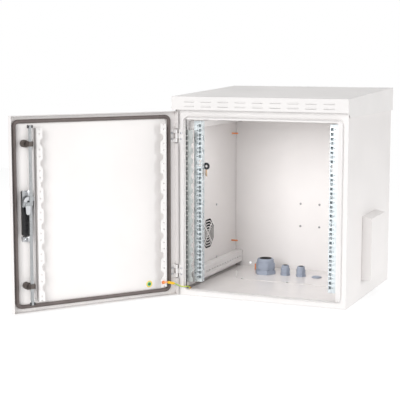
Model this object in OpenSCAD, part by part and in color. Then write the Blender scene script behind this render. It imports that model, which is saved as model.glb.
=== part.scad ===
// Outdoor wall cabinet for fiber termination, 19-inch rack, door hung on the left.
// Millimetres. X to the right, Y to the back, Z up. The origin is the middle of the base.

/* [Body] */
// Outside width of the body
body_w = 600; // [590:5:620]
// Outside depth of the body without its door
body_d = 550; // [540:5:600]
// Height of the body under its roof
body_h = 640; // [636:1:645]
// Sheet thickness
sheet = 1.5; // [1.2:0.1:1.8]
// Height of the floor's upper face
floor_z = 9.5; // [9:0.5:10]

/* [Front opening] */
// Left edge of the opening
open_x0 = -266; // [-266:1:-262]
// Right edge of the opening
open_x1 = 264; // [264:1:268]
// Lower edge of the opening
open_z0 = 24; // [20:1:26]
// Upper edge of the opening
open_z1 = 603; // [603:1:608]
// How far the sealing lip stands forward
lip_d = 12; // [8:1:12]

/* [Roof] */
// How far the roof passes each side
roof_side = 6; // [5:1:10]
// How far the roof passes the front
roof_front = 25; // [25:1:40]
// Height of the roof's front edge
roof_low = 680; // [672:1:690]
// Height of the roof's back edge
roof_high = 700; // [690:1:710]
// Louvre columns
louvres = 9; // [3:1:9]

/* [Door] */
// How far the door stands open, in degrees
door_open = 126; // [0:1:130]
// Depth of the door pan
door_d = 22; // [20:1:24]
// Thickness of the door sheet
door_sheet = 1.2; // [1:0.1:1.5]
// Diameter of the round gasket
gasket_dia = 12.4; // [11:0.1:13]

/* [Rack] */
// Rack units
rack_units = 12; // [8:1:12]
// Front face of the rails
rail_y = -229; // [-235:1:-220]
// Side of a square rail hole
cage_hole = 9.5; // [9:0.1:9.8]

/* [Lock] */
// Height of the lock's spindle
lock_z = 362; // [340:1:380]

/* [Cable glands] */
// Bore of the large gland's seal, radius
large_r = 20; // [16:1:21]
// Bore of a small gland's seal, radius
small_r = 7.5; // [5:0.5:8.5]

/* [Hidden] */
hw = body_w / 2;
hd = body_d / 2;
in_x = hw - sheet;
in_y = hd - sheet;
face_y = -hd;
hinge_x = -hw + 5;
hinge_y = face_y - 10;
skin_y = face_y - 2 - door_d;
pan_y = skin_y + door_sheet;
door_x = hw - 2;
door_z0 = 4;
door_z1 = 630;
hinge_zs = [84.5, 547];
rack_z0 = 51.8;
unit = 44.45;
lock_x = 250;
rod_x = 240.5;
low_y = face_y + 5.5;
up_y = face_y + 10.8;
cam_y = face_y + 8.4;
rod_travel = 15;
gland_y = 142;
small_xs = [-50, 10];
plug_x = 70;
large_x = -128;
earth_route = [
    [-294, -304, 44], [-286, -298, 39], [-277, -295, 35], [-268, -293, 34],
    [-260, -290, 34], [-254, -283, 34], [-252, -275, 30], [-253, -269, 22], [-254, -266, 17.5]
];
sleeve_start = [-311, -323.55, 51.05];
sleeve_end = [-294.57, -304.66, 44.24];
lug_start = [-256.3, -260.8, 14.7];
lug_end = [-254.46, -264.7, 16.9];
$fn = 48;

// Turns what is drawn with the door shut to where the open door stands.
module on_door() {
    translate([hinge_x, hinge_y, 0]) rotate([0, 0, -door_open]) translate([-hinge_x, -hinge_y, 0])
        children();
}

// Turns what is drawn with the lock thrown to its free position. Its centre is the spindle.
module on_latch() {
    on_door() translate([lock_x, 0, lock_z]) rotate([0, 90, 0]) children();
}

// A plate in the XZ plane from y to y - t, made from a flat outline.
module wall(y, t) {
    translate([0, y, 0]) rotate([90, 0, 0]) linear_extrude(t) children();
}

// A prism along X from x to x + l, made from an outline in Y and Z.
module along_x(x, l) {
    translate([x, 0, 0]) rotate([90, 0, 90]) linear_extrude(l) children();
}

module box(a, b) {
    translate(a) cube(b - a);
}

// A flat outline with rounded corners.
module round_rect(x0, x1, z0, z1, r) {
    translate([x0 + r, z0]) square([x1 - x0 - 2 * r, z1 - z0]);
    translate([x0, z0 + r]) square([x1 - x0, z1 - z0 - 2 * r]);
    for (x = [x0 + r, x1 - r], z = [z0 + r, z1 - r]) translate([x, z]) circle(r);
}

// A round bar along Y.
module y_bar(x, z, y0, y1, r) {
    translate([x, y1, z]) rotate([90, 0, 0]) cylinder(r = r, h = y1 - y0);
}

// A round bar along X.
module x_bar(y, z, x0, x1, r) {
    translate([x0, y, z]) rotate([0, 90, 0]) cylinder(r = r, h = x1 - x0);
}

// A hexagon along Z, given the distance across its flats.
module hex(af, h) {
    cylinder(r = af / sqrt(3), h = h, $fn = 6);
}

// A round bar between two points.
module bar_between(a, b, r) {
    d = b - a;
    translate(a) rotate([0, acos(d[2] / norm(d)), atan2(d[1], d[0])]) cylinder(r = r, h = norm(d));
}

module both_sides() {
    children();
    mirror([1, 0, 0]) children();
}

// ---- body ----

module octagon(a, h) {
    rotate([0, 0, 22.5]) cylinder(r = a / cos(22.5), h = h, $fn = 8);
}

// Rings of eight-sided slots round the vent, cut through a side wall.
module finger_guard() {
    translate([hw - 5, 0, 172]) rotate([0, 90, 0]) difference() {
        for (r = [6 : 10 : 46]) difference() {
            octagon(r + 6.6, 10);
            translate([0, 0, -1]) octagon(r, 12);
        }
        for (a = [45, 135]) rotate([0, 0, a]) translate([-70, -2.2, -1]) cube([140, 4.4, 12]);
    }
}

module side_panel() {
    difference() {
        box([in_x, -in_y, 0], [hw, hd, body_h]);
        finger_guard();
        for (y = [-78, 78], z = [75, 269]) x_bar(y, z, in_x - 1, hw + 1, 2.6);
    }
}

module side_panel_left() {
    color("whitesmoke") mirror([1, 0, 0]) side_panel();
}

module side_panel_right() {
    color("whitesmoke") side_panel();
}

module back_panel() {
    color("whitesmoke") difference() {
        box([-in_x, in_y, 0], [in_x, hd, body_h]);
        for (x = [-237, 237], z = [22, 612]) y_bar(x, z, in_y - 1, hd + 1, 4.75);
    }
}

module top_panel() {
    color("whitesmoke") box([-in_x, -in_y, body_h - sheet], [in_x, in_y, body_h]);
}

module bottom_plate() {
    color("whitesmoke") difference() {
        box([-in_x, -in_y, 0], [in_x, in_y, floor_z]);
        box([-in_x + sheet, -in_y + sheet, -1], [in_x - sheet, in_y - sheet, floor_z - sheet]);
        box([-168, 24, 0], [168, 176.5, 20]);
        plate_screw_places() cylinder(r = 2.6, h = 20);
    }
}

// The front frame: flat strips and the sealing lip.
module front_frame() {
    color("white") {
        difference() {
            box([-hw, face_y, 0], [hw, face_y + sheet, body_h]);
            box([open_x0, face_y - 1, open_z0], [open_x1, face_y + 3, open_z1]);
            for (h = hinge_zs, z = [-11, 9]) y_bar(-281, h + z, face_y - 1, face_y + 3, 2.1);
        }
        wall(face_y, lip_d) difference() {
            round_rect(-270.6, 282.6, 21.4, 612.6, 15.6);
            round_rect(-269.4, 281.4, 22.6, 611.4, 14.4);
        }
    }
}

// A galvanised strip behind the frame's hinge side: a web on the frame, and a leaf with a waved edge.
module frame_side_strip() {
    x = -290;
    color("#B9C6CC") {
        box([x, face_y + sheet, 45], [x + 1.2, face_y + 17, 567]);
        wall(face_y + 17, 1.2) difference() {
            polygon(concat([[x, 567], [x, 45], [-246, 45]], [
                for (i = [0 : 13], p = [
                    [-246, 58 + 34 * i], [-252, 65 + 34 * i], [-252, 75 + 34 * i], [-246, 82 + 34 * i]
                ]) p
            ], [[-246, 567]]));
            for (i = [0 : 29]) translate([-268, 53 + 17 * i]) circle(2.3);
        }
    }
}

module roof_cover() {
    rx = hw + roof_side;
    ry = face_y - roof_front;
    color("gainsboro") {
        difference() {
            along_x(-rx, 2 * rx) polygon([
                [ry, roof_low], [hd, roof_high], [hd, 620], [face_y, 620], [ry, 636]
            ]);
            along_x(-rx + sheet, 2 * rx - 2 * sheet) polygon([
                [ry + sheet, roof_low - sheet], [in_y, roof_high - sheet - 0.1], [in_y, 600],
                [face_y, 600], [face_y, 637.5], [ry + sheet, 637.5]
            ]);
            box([-rx + sheet, ry - 1, 600], [rx - sheet, face_y, 636]);
            box([-rx + sheet, in_y - 1, 600], [rx - sheet, hd + 1, body_h]);
            box([-rx - 1, ry - 1, 600], [-rx + 3, -268, 636]);
            for (i = [0 : louvres - 1], z = [647.5, 663])
                wall(ry + 3, 6) translate([(i - (louvres - 1) / 2) * 60.6, z]) louvre_slot();
        }
        for (s = [-1, 1]) box([s > 0 ? hw : -rx + sheet, -in_y + 10, 620],
            [s > 0 ? rx - sheet : -hw, in_y, 621.5]);
    }
}

module louvre_slot() {
    square([34, 3.2], center = true);
    for (x = [-17, 17]) translate([x, 0]) circle(1.6);
}

// ---- side vents ----

module vent_hood() {
    difference() {
        wall_hood(-92, 85, 0);
        wall_hood(-90.8, 83.8, 1.2);
    }
    for (y = [-90.8, 66], z = [64, 257])
        difference() {
            box([hw, y, z], [hw + 1.2, y + (y < 0 ? 22 : 17.8), z + 22]);
            for (v = [-78, 78], h = [75, 269]) x_bar(v, h, hw - 1, hw + 3, 2.6);
        }
}

// The hood's body along Y, drawn t inside its outer face and open below.
module wall_hood(y0, y1, t) {
    wall(y1, y1 - y0) polygon([
        [hw - (t > 0 ? 1 : 0), 64 - t], [hw + 33 - t, 64 - t],
        [hw + 33 - t, 275 - t], [hw - (t > 0 ? 1 : 0), 282 - t]
    ]);
}

module vent_hood_left() {
    color("whitesmoke") mirror([1, 0, 0]) vent_hood();
}

module vent_hood_right() {
    color("whitesmoke") vent_hood();
}

module vent_hood_screws() {
    color("silver") both_sides() for (y = [-78, 78], z = [75, 269]) {
        x_bar(y, z, in_x - 2.6, in_x, 4.6);
        x_bar(y, z, in_x - 1, hw + 6, 2.4);
        translate([hw + 1.2, y, z]) rotate([0, 90, 0]) hex(8, 4);
    }
}

// ---- rack ----

// A channel on a side wall that the rails bolt to, with its round-ended foot on the back wall.
module depth_bar(z0, z1) {
    difference() {
        union() {
            box([270, -255, z0], [271.5, in_y - sheet, z1]);
            for (z = [z0, z1 - sheet]) box([271.5, -255, z], [in_x, in_y - sheet, z + sheet]);
            wall(in_y, sheet) {
                translate([280, z0 - 3]) square([in_x - 280, z1 - z0 + 6]);
                translate([270, z0 + 7]) square([28, z1 - z0 - 14]);
                for (z = [z0 + 7, z1 - 7]) translate([280, z]) circle(10);
            }
        }
        for (y = [-205 : 25 : 245]) x_bar(y, (z0 + z1) / 2, 265, 275, 3.4);
        y_bar(283, (z0 + z1) / 2 + 10, in_y - 3, in_y + 1, 3.4);
    }
}

module depth_bars_upper() {
    color("white") both_sides() depth_bar(567, 612);
}

module depth_bars_lower() {
    color("white") both_sides() depth_bar(28, 70);
}

module bar_bolts() {
    color("#3A3836") both_sides() for (z = [59, 599.5]) {
        y_bar(283, z, in_y - 6, in_y, 3.2);
        translate([283, in_y - sheet, z]) rotate([90, 0, 0]) hex(11, 4.5);
    }
}

module rack_rail() {
    difference() {
        union() {
            box([225, rail_y, 41], [254, rail_y + 2, 595]);
            for (x = [225, 252]) box([x, rail_y, 41], [x + 2, rail_y + 21, 595]);
            box([225, rail_y + 19, 41], [254, rail_y + 21, 595]);
        }
        box([227.5, rail_y + 18, 432], [251.5, rail_y + 22, 464]);
        for (u = [0 : rack_units - 1], z = [6.35, 22.225, 38.1])
            box([232.55 - cage_hole / 2, rail_y - 1, rack_z0 + u * unit + z - cage_hole / 2],
                [232.55 + cage_hole / 2, rail_y + 3, rack_z0 + u * unit + z + cage_hole / 2]);
        for (u = [0 : rack_units - 1], z = [6.35, 22.225, 38.1])
            y_bar(241.9, rack_z0 + u * unit + z, rail_y - 1, rail_y + 3, 2.2);
        for (u = [0 : rack_units - 2]) {
            box([224, rail_y + 9, rack_z0 + u * unit + 34], [228, rail_y + 17, rack_z0 + u * unit + 46]);
            for (z = [34, 46]) x_bar(rail_y + 13, rack_z0 + u * unit + z, 224, 228, 4);
        }
        for (z = [54, 581]) x_bar(rail_y + 12, z, 251, 255, 3);
    }
}

module rack_rail_left() {
    color("#B9C6CC") mirror([1, 0, 0]) rack_rail();
}

module rack_rail_right() {
    color("#B9C6CC") rack_rail();
}

// Folded brackets between each rail's end and the depth bars.
module rail_brackets() {
    color("white") both_sides() for (z = [[38, 70], [567, 595]]) difference() {
        union() {
            box([254, rail_y, z[0]], [255.5, rail_y + 21, z[1]]);
            box([254, rail_y, z[0]], [270, rail_y + sheet, z[1]]);
            box([268.5, rail_y, z[0]], [270, rail_y + 39, z[1]]);
        }
        x_bar(rail_y + 12, z[0] < 100 ? 54 : 581, 253, 257, 3);
        x_bar(-205, z[0] < 100 ? 49 : 589.5, 267, 272, 3.4);
    }
}

module rail_bolts() {
    color("silver") both_sides() for (z = [[54, 49], [581, 589.5]]) {
        x_bar(rail_y + 12, z[0], 248, 258, 2.8);
        translate([255.5, rail_y + 12, z[0]]) rotate([0, 90, 0]) hex(9, 3.5);
        translate([248.5, rail_y + 12, z[0]]) rotate([0, 90, 0]) hex(9, 3.5);
        x_bar(-205, z[1], 265, 277, 3);
        translate([264.5, -205, z[1]]) rotate([0, 90, 0]) hex(10, 4);
        translate([271.5, -205, z[1]]) rotate([0, 90, 0]) hex(10, 5);
    }
}

// ---- cable entries ----

module plate_screw_places() {
    for (p = [[-173, 19], [173, 19], [-173, 181], [173, 181], [0, 19], [0, 181]])
        translate([p[0], p[1], 0]) children();
}

module gland_plate() {
    color("whitesmoke") difference() {
        box([-178, 14, floor_z], [178, 186, floor_z + 2]);
        plate_screw_places() cylinder(r = 2.6, h = 20);
        translate([large_x, gland_y, 0]) cylinder(r = 31.6, h = 20);
        for (x = concat(small_xs, [plug_x])) translate([x, gland_y, 0]) cylinder(r = 12.6, h = 20);
    }
}

module gland_plate_screws() {
    color("silver") plate_screw_places() {
        translate([0, 0, floor_z - 6]) cylinder(r = 2.4, h = 8);
        translate([0, 0, floor_z + 2]) cylinder(r = 4.6, h = 2.8);
    }
}

// A gland's lower half: hexagon, collar and threaded barrel, with a bore right through.
module gland_body(af, hex_h, collar_h, barrel_r, barrel_h, bore_r) {
    z = floor_z + 2;
    difference() {
        union() {
            translate([0, 0, z]) hex(af, hex_h);
            translate([0, 0, z]) cylinder(r = af / 2 - 1, h = hex_h + collar_h);
            translate([0, 0, z - barrel_h]) cylinder(r = barrel_r, h = barrel_h);
        }
        cylinder(r = bore_r, h = 100);
    }
}

// A gland's clamping nut: hexagon below, rounded shoulder above.
module gland_cap(z, af, h, dome_h, mouth_r, room_r) {
    difference() {
        union() {
            translate([0, 0, z]) intersection() {
                hex(af, h);
                cylinder(r = af / 2 + af * 0.055, h = h);
            }
            translate([0, 0, z + h]) rotate_extrude() polygon([
                [0, 0], [af / 2 - 0.5, 0], [af / 2 - 1.5, dome_h * 0.4],
                [af / 2 - af * 0.09, dome_h * 0.8], [af / 2 - af * 0.14, dome_h], [0, dome_h]
            ]);
        }
        translate([0, 0, z - 1]) cylinder(r = mouth_r, h = h + dome_h + 2);
        translate([0, 0, z - 1]) cylinder(r = room_r, h = h + dome_h * 0.5 + 1);
    }
}

module gland_seal(z, h, r, bore_r) {
    translate([0, 0, z]) difference() {
        cylinder(r = r, h = h);
        translate([0, 0, -1]) cylinder(r = bore_r, h = h + 2);
    }
}

module large_gland_body() {
    color("#8E93A6") translate([large_x, gland_y, 0]) gland_body(68, 15, 4, 31.4, 9, 24);
}

module large_gland_cap() {
    color("#8E93A6") translate([large_x, gland_y, 0]) gland_cap(30.7, 66, 22, 16, 22.5, 28);
}

module large_gland_seal() {
    color("#3C3A3A") translate([large_x, gland_y, 0]) gland_seal(30.7, 29, 27.8, large_r);
}

module small_gland_bodies() {
    color("#8E93A6") for (x = small_xs)
        translate([x, gland_y, 0]) gland_body(33, 8, 2, 12.4, 9, 9.5);
}

module small_gland_caps() {
    color("#8E93A6") for (x = small_xs)
        translate([x, gland_y, 0]) gland_cap(21.7, 31, 16, 11, 9.5, 12);
}

module small_gland_seals() {
    color("#3C3A3A") for (x = small_xs)
        translate([x, gland_y, 0]) gland_seal(21.7, 20, 11.8, small_r);
}

module gland_locknuts() {
    color("#8E93A6") {
        translate([large_x, gland_y, floor_z - 6.5]) difference() {
            cylinder(r = 34, h = 6.5);
            translate([0, 0, -1]) cylinder(r = 31.45, h = 9);
        }
        for (x = concat(small_xs, [plug_x])) translate([x, gland_y, floor_z - 5]) difference() {
            hex(32, 5);
            translate([0, 0, -1]) cylinder(r = 12.45, h = 9);
        }
    }
}

module blanking_plug() {
    color("#8E93A6") translate([plug_x, gland_y, 0]) difference() {
        union() {
            translate([0, 0, floor_z + 2]) cylinder(r = 18, h = 3);
            translate([0, 0, floor_z + 5]) cylinder(r = 16.5, h = 1);
            translate([0, 0, floor_z - 7]) cylinder(r = 12.4, h = 9);
        }
        translate([-9, -1.2, floor_z + 4.4]) cube([18, 2.4, 3]);
    }
}

// ---- small hardware ----

module weld_studs() {
    color("#D9773F") {
        both_sides() for (z = [112, 522]) x_bar(230, z, in_x - 25, in_x, 3);
        for (p = [[-190, 202], [-203, 38]]) translate([p[0], p[1], floor_z]) cylinder(r = 3, h = 24);
        translate([-258, -254, floor_z]) cylinder(r = 3, h = 17);
    }
}

module frame_earth_nut() {
    color("silver") translate([-258, -254, floor_z + 4.7]) difference() {
        hex(10, 5);
        translate([0, 0, -1]) cylinder(r = 3.05, h = 7);
    }
}

module frame_earth_lug() {
    color("#D9773F") difference() {
        union() {
            translate([-258, -254, floor_z + 3.5]) cylinder(r = 6, h = 1.2);
            box([-258.4, -262.4, floor_z + 3.5], [-254.4, -257, floor_z + 4.7]);
            bar_between(lug_start, lug_end, 2.4);
        }
        translate([-258, -254, 0]) cylinder(r = 3.1, h = 40);
    }
}

module key_tie() {
    color("dimgray") translate([-231, -205, 448]) rotate_extrude() translate([12, 0]) circle(0.8);
}

module key_bow() {
    color("#1C1C1E") difference() {
        y_bar(-219, 440, -206.2, -203.8, 12);
        y_bar(-219, 447, -210, -200, 2.2);
    }
}

module key_blade() {
    color("#8A6A4A") difference() {
        box([-222.5, -206, 404], [-215.5, -204, 427.95]);
        for (z = [407 : 4 : 420]) box([-217, -207, z], [-214, -203, z + 1.6]);
    }
}

// ---- hinges ----

module hinge_pins() {
    color("#55575A") for (z = hinge_zs) translate([hinge_x, hinge_y, z - 23]) {
        cylinder(r = 2.4, h = 46);
        translate([0, 0, -1.6]) cylinder(r = 3.6, h = 1.6);
    }
}

module frame_hinge_leaves() {
    color("white") for (z = hinge_zs) difference() {
        union() {
            box([-291, face_y - 2, z - 22], [-271, face_y, z + 22]);
            translate([0, 0, z - 9]) linear_extrude(18) {
                polygon([
                    [hinge_x - 3.6, hinge_y + 1.6], [hinge_x + 3.6, hinge_y - 1.6],
                    [hinge_x + 7, face_y - 1], [hinge_x + 7, face_y], [hinge_x - 2.5, face_y]
                ]);
                translate([hinge_x, hinge_y]) circle(4);
            }
        }
        translate([hinge_x, hinge_y, z - 30]) cylinder(r = 2.45, h = 60);
        for (v = [-11, 9]) y_bar(-281, z + v, face_y - 4, face_y + 1, 2.1);
    }
}

// The cabinet's pan-head screws: four in the hinges, four through the back wall.
module pan_screws() {
    color("silver") {
        for (h = hinge_zs, z = [-11, 9]) pan_screw(-281, h + z, face_y - 2);
        for (x = [-37, 37], z = [176, 261]) pan_screw(x, z, in_y);
    }
}

module pan_screw(x, z, y) {
    y_bar(x, z, y - 2.4, y, 4);
    y_bar(x, z, y - 1, y + (y > 0 ? 0 : 7), 2);
}

module door_hinge_leaves() {
    color("white") on_door() for (z = hinge_zs) difference() {
        union() {
            box([-291, pan_y, z - 22], [-277, pan_y + 1.6, z + 22]);
            for (v = [-22, 9.3]) translate([0, 0, z + v]) linear_extrude(12.7) {
                polygon([
                    [hinge_x - 3.8, hinge_y - 1], [hinge_x + 3.8, hinge_y + 1],
                    [hinge_x + 6, pan_y], [hinge_x - 1.4, pan_y], [hinge_x - 1.4, hinge_y - 6]
                ]);
                translate([hinge_x, hinge_y]) circle(4);
            }
        }
        translate([hinge_x, hinge_y, z - 30]) cylinder(r = 2.45, h = 60);
        for (v = [-11, 9]) y_bar(-284, z + v, pan_y - 1, pan_y + 4, 2.1);
    }
}

module door_hinge_screws() {
    color("silver") on_door() for (h = hinge_zs, z = [-11, 9]) {
        y_bar(-284, h + z, pan_y + 1.6, pan_y + 4, 4);
        y_bar(-284, h + z, pan_y, pan_y + 3, 2);
    }
}

// ---- door ----

module door_skin() {
    color("whitesmoke") on_door() difference() {
        box([-door_x, skin_y, door_z0], [door_x, skin_y + door_d, door_z1]);
        box([-door_x + door_sheet, pan_y, door_z0 + door_sheet],
            [door_x - door_sheet, face_y, door_z1 - door_sheet]);
        for (z = hinge_zs)
            box([-door_x - 1, hinge_y - 8, z - 25], [-door_x + door_sheet + 0.1, face_y, z + 25]);
        box([door_x - 3, face_y - 14, 350], [door_x + 1, face_y - 11, 366]);
        y_bar(lock_x, lock_z, skin_y - 1, pan_y + 1, 10);
        y_bar(lock_x, 262, skin_y - 1, pan_y + 1, 4);
    }
}

// A rubber section all the way round, glued to the skin and just short of the frame's lip.
module door_gasket() {
    r = gasket_dia / 2;
    color("#6E6462") on_door() wall(-hd - lip_d - 0.3, -pan_y - hd - lip_d - 0.3) difference() {
        round_rect(-270 - r, 282 + r, 22 - r, 612 + r, 15 + r);
        round_rect(-270 + r, 282 - r, 22 + r, 612 - r, 15 - r);
    }
}

module lock_channel() {
    color("white") on_door() {
        box([223, pan_y, 42], [224.5, face_y - 2, 599]);
        box([223, pan_y, 42], [236, pan_y + sheet, 599]);
    }
}

function pair_z(i) = 45 + 66.7 * i;
function wave(wide, slim) = concat([[wide, 36]], [
    for (i = [0 : 7], p = [
        [wide, pair_z(i) + 19], [slim, pair_z(i) + 27],
        [slim, pair_z(i) + 39.7], [wide, pair_z(i) + 47.7]
    ]) p
], [[wide, 590]]);

// A perforated strip: straight web on the skin, and a leaf with a waved edge and pairs of holes.
module wave_strip(x, s, hole_x, wide, slim) {
    box([min(x, x + s * sheet), pan_y, 36], [max(x, x + s * sheet), face_y - 4, 590]);
    wall(face_y - 2.6, sheet) difference() {
        polygon(concat([[x, 590], [x, 36]], wave(wide, slim)));
        for (i = [0 : 8], v = (i == 0 || i == 8) ? [-6.5, 7] : [-11, 11])
            translate([hole_x, pair_z(i) + v]) circle(2.6);
    }
}

module hinge_side_strip() {
    color("white") on_door() wave_strip(-252, 1, -242, -230, -240);
}

module lock_side_strip() {
    color("white") on_door() wave_strip(213, -1, 203.5, 193, 201);
}

module rod_guide(z, y) {
    difference() {
        union() {
            y_bar(lock_x, z, pan_y, face_y - 1, 11.5);
            box([231, face_y - 9, z - 8], [250, y + 5.5, z + 8]);
        }
        box([rod_x - 5.3, y - 0.3, z - 20], [rod_x + 5.3, y + 2.8, z + 20]);
        y_bar(lock_x, z, face_y - 4, face_y, 4);
    }
}

module rod_guides() {
    color("#5A5350") on_door() {
        rod_guide(90, low_y);
        rod_guide(543, up_y);
    }
}

module lock_housing() {
    color("#1E1E20") on_door() difference() {
        union() {
            wall(face_y - 6, 15) round_rect(238, 262, 251, 394, 6);
            wall(face_y - 4, 18.8) round_rect(240, 260, 254, 391, 6);
        }
        y_bar(lock_x, lock_z, pan_y - 1, face_y, 6.3);
        y_bar(lock_x, 262, face_y - 8, face_y, 3);
        box([246, face_y - 7, 280], [254, face_y, 335]);
    }
}

module lock_bracket() {
    color("silver") on_door() {
        difference() {
            wall(face_y - 2.4, 1.6) round_rect(236, 264, 343, 396, 3);
            y_bar(lock_x, lock_z, face_y - 6, face_y, 6.5);
            for (z = [350, 389]) y_bar(lock_x, z, face_y - 6, face_y, 2.5);
        }
        box([238, pan_y, 232], [262, face_y - 9, 248]);
        y_bar(lock_x, 240, face_y - 9, face_y - 5.5, 5);
    }
}

module handle_base() {
    color("#1E1E20") on_door() difference() {
        union() {
            wall(skin_y, 6) round_rect(234, 266, 234, 396, 15.5);
            wall(skin_y - 6, 2) round_rect(235.5, 264.5, 235.5, 394.5, 14);
        }
        y_bar(lock_x, lock_z, skin_y - 20, skin_y + 1, 6.06);
        wall(skin_y - 5, 6) round_rect(239, 261, 242, 345, 10);
    }
}

module earth_label() {
    color("gold") on_door() {
        y_bar(-195, 47, pan_y, pan_y + 0.5, 11.5);
        y_bar(-195, 47, pan_y, pan_y + 0.8, 7.5);
        y_bar(-195, 47, pan_y, pan_y + 3, 3);
    }
}

module door_earth_lug() {
    color("#D9773F") on_door() {
        y_bar(-238, 51.7, face_y - 2.6, face_y - 1.4, 6);
        y_bar(-238, 51.7, face_y - 2.6, face_y + 6, 2.9);
        translate([-238, face_y + 2, 51.7]) rotate([90, 0, 0]) hex(9, 3.4);
        x_bar(face_y - 0.5, 51.7, -253.3, -243.5, 2.1);
        box([-246, face_y - 2.6, 49.7], [-240, face_y - 1.4, 53.7]);
    }
}

// ---- lock and handle ----

module lock_spindle() {
    color("#1E1E20") on_latch() {
        y_bar(0, 0, skin_y - 10.3, face_y - 1, 6);
        y_bar(0, 0, face_y - 1, cam_y + 2, 4);
        y_bar(0, 0, skin_y - 14, skin_y - 10.3, 14);
        for (x = [-11, 8]) {
            box([x, skin_y - 20.5, 0], [x + 3, skin_y - 14, 12]);
            x_bar(skin_y - 20.5, 6, x, x + 3, 6);
        }
        x_bar(skin_y - 20.5, 6, -11, 11, 2.5);
    }
}

// The cam plate: its tongue passes behind the frame, and its two pins drive the rods.
module lock_cam() {
    p = rod_travel / 2;
    color("silver") on_latch() {
        wall(cam_y + 2, 2) difference() {
            union() {
                circle(15);
                translate([0, -7]) square([35, 14]);
                translate([35, 0]) circle(7);
            }
            circle(4);
        }
        y_bar(p, p, cam_y + 2, up_y + 2.5, 2);
        y_bar(-p, -p, low_y, cam_y, 2);
    }
}

// The lever: a hub between the spindle's ears, and a long grip that widens below them.
module handle_lever() {
    color("#242426") on_latch() difference() {
        union() {
            x_bar(skin_y - 20.5, 6, -7.6, 7.6, 6);
            box([-7.6, skin_y - 26, -6], [7.6, skin_y - 14.8, 6]);
            wall(skin_y - 14.6, 12) round_rect(-12, 12, -124, -4, 8);
        }
        x_bar(skin_y - 20.5, 6, -20, 20, 2.56);
        y_bar(0, -98, skin_y - 40, skin_y - 18, 8.06);
    }
}

module lock_cylinder() {
    color("silver") on_latch() difference() {
        y_bar(0, -98, skin_y - 27, skin_y - 18.3, 8);
        box([-0.6, skin_y - 28, -102], [0.6, skin_y - 25, -94]);
    }
}

module roller_tip(y, z) {
    difference() {
        box([rod_x - 4, y - 3, z - 7], [rod_x + 4, y + 3, z + 4]);
        x_bar(y, z, rod_x - 10, rod_x + 10, 1.58);
    }
}

module upper_rod() {
    z = lock_z - rod_travel / 2;
    color("#C9CDD0") on_door() {
        difference() {
            union() {
                box([rod_x - 5, up_y, z - 6], [rod_x + 5, up_y + 2.5, 591]);
                box([rod_x - 5, up_y, z - 6], [268, up_y + 2.5, z + 6]);
            }
            box([255, up_y - 1, z - 2.6], [263.2, up_y + 4, z + 2.6]);
        }
        roller_tip(up_y + 1.25, 597);
    }
}

module lower_rod() {
    z = lock_z + rod_travel / 2;
    color("#C9CDD0") on_door() {
        difference() {
            union() {
                box([rod_x - 5, low_y, 40], [rod_x + 5, low_y + 2.5, z + 6]);
                box([229, low_y, z - 6], [rod_x + 5, low_y + 2.5, z + 6]);
            }
            box([236.8, low_y - 1, z - 2.6], [260, low_y + 4, z + 2.6]);
        }
        translate([0, 0, 68]) mirror([0, 0, 1]) roller_tip(low_y + 1.8, 34);
    }
}

// Two rollers on one axle, one each side of the rod's tip.
module rollers(y, z) {
    x_bar(y, z, rod_x - 8.6, rod_x + 8.6, 1.5);
    for (x = [-8.6, 4.4]) x_bar(y, z, rod_x + x, rod_x + x + 4.2, 5);
}

module upper_rollers() {
    color("#1E1E20") on_door() rollers(up_y + 1.25, 597);
}

module lower_rollers() {
    color("#1E1E20") on_door() rollers(low_y + 1.8, 34);
}

// ---- earth lead ----

function bend(p, i, t) =
    let (a = p[max(i - 1, 0)], b = p[i], c = p[i + 1], d = p[min(i + 2, len(p) - 1)])
    0.5 * (2 * b + t * (c - a) + t * t * (2 * a - 5 * b + 4 * c - d)
        + t * t * t * (3 * b - a - 3 * c + d));
function smooth_route(p, n) = concat(
    [for (i = [0 : len(p) - 2], k = [0 : n - 1]) bend(p, i, k / n)], [p[len(p) - 1]]);
function unit_of(v) = v / norm(v);

// A round tube along a route, with flat ends.
module tube(route, r, sides) {
    n = len(route);
    pts = [
        for (i = [0 : n - 1])
            let (t = unit_of(route[min(i + 1, n - 1)] - route[max(i - 1, 0)]),
                u = unit_of(cross(t, [0.1, 0.05, 1])), v = cross(t, u))
            for (k = [0 : sides - 1])
                route[i] + r * (cos(k * 360 / sides) * u + sin(k * 360 / sides) * v)
    ];
    polyhedron(pts, concat(
        [[for (k = [0 : sides - 1]) sides - 1 - k]],
        [for (i = [0 : n - 2], k = [0 : sides - 1]) [
            i * sides + k, i * sides + (k + 1) % sides,
            (i + 1) * sides + (k + 1) % sides, (i + 1) * sides + k
        ]],
        [[for (k = [0 : sides - 1]) (n - 1) * sides + k]]
    ));
}

module earth_wire() {
    color("#9DB53A") tube(smooth_route(earth_route, 4), 1.9, 8);
}

module earth_sleeve() {
    color("#F5C518") bar_between(sleeve_start, sleeve_end, 4.6);
}

side_panel_left();
side_panel_right();
back_panel();
top_panel();
bottom_plate();
front_frame();
roof_cover();
gland_plate();
gland_plate_screws();
vent_hood_left();
vent_hood_right();
vent_hood_screws();
depth_bars_upper();
depth_bars_lower();
bar_bolts();
rack_rail_left();
rack_rail_right();
rail_brackets();
rail_bolts();
large_gland_body();
large_gland_cap();
large_gland_seal();
small_gland_bodies();
small_gland_caps();
small_gland_seals();
gland_locknuts();
blanking_plug();
weld_studs();
frame_earth_nut();
pan_screws();
frame_hinge_leaves();
hinge_pins();
frame_side_strip();
key_tie();
frame_earth_lug();
earth_wire();
earth_sleeve();
door_skin();
door_gasket();
lock_channel();
hinge_side_strip();
lock_side_strip();
rod_guides();
lock_housing();
lock_bracket();
handle_base();
door_hinge_leaves();
door_hinge_screws();
earth_label();
door_earth_lug();
lock_spindle();
lock_cam();
handle_lever();
lock_cylinder();
upper_rod();
lower_rod();
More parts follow.
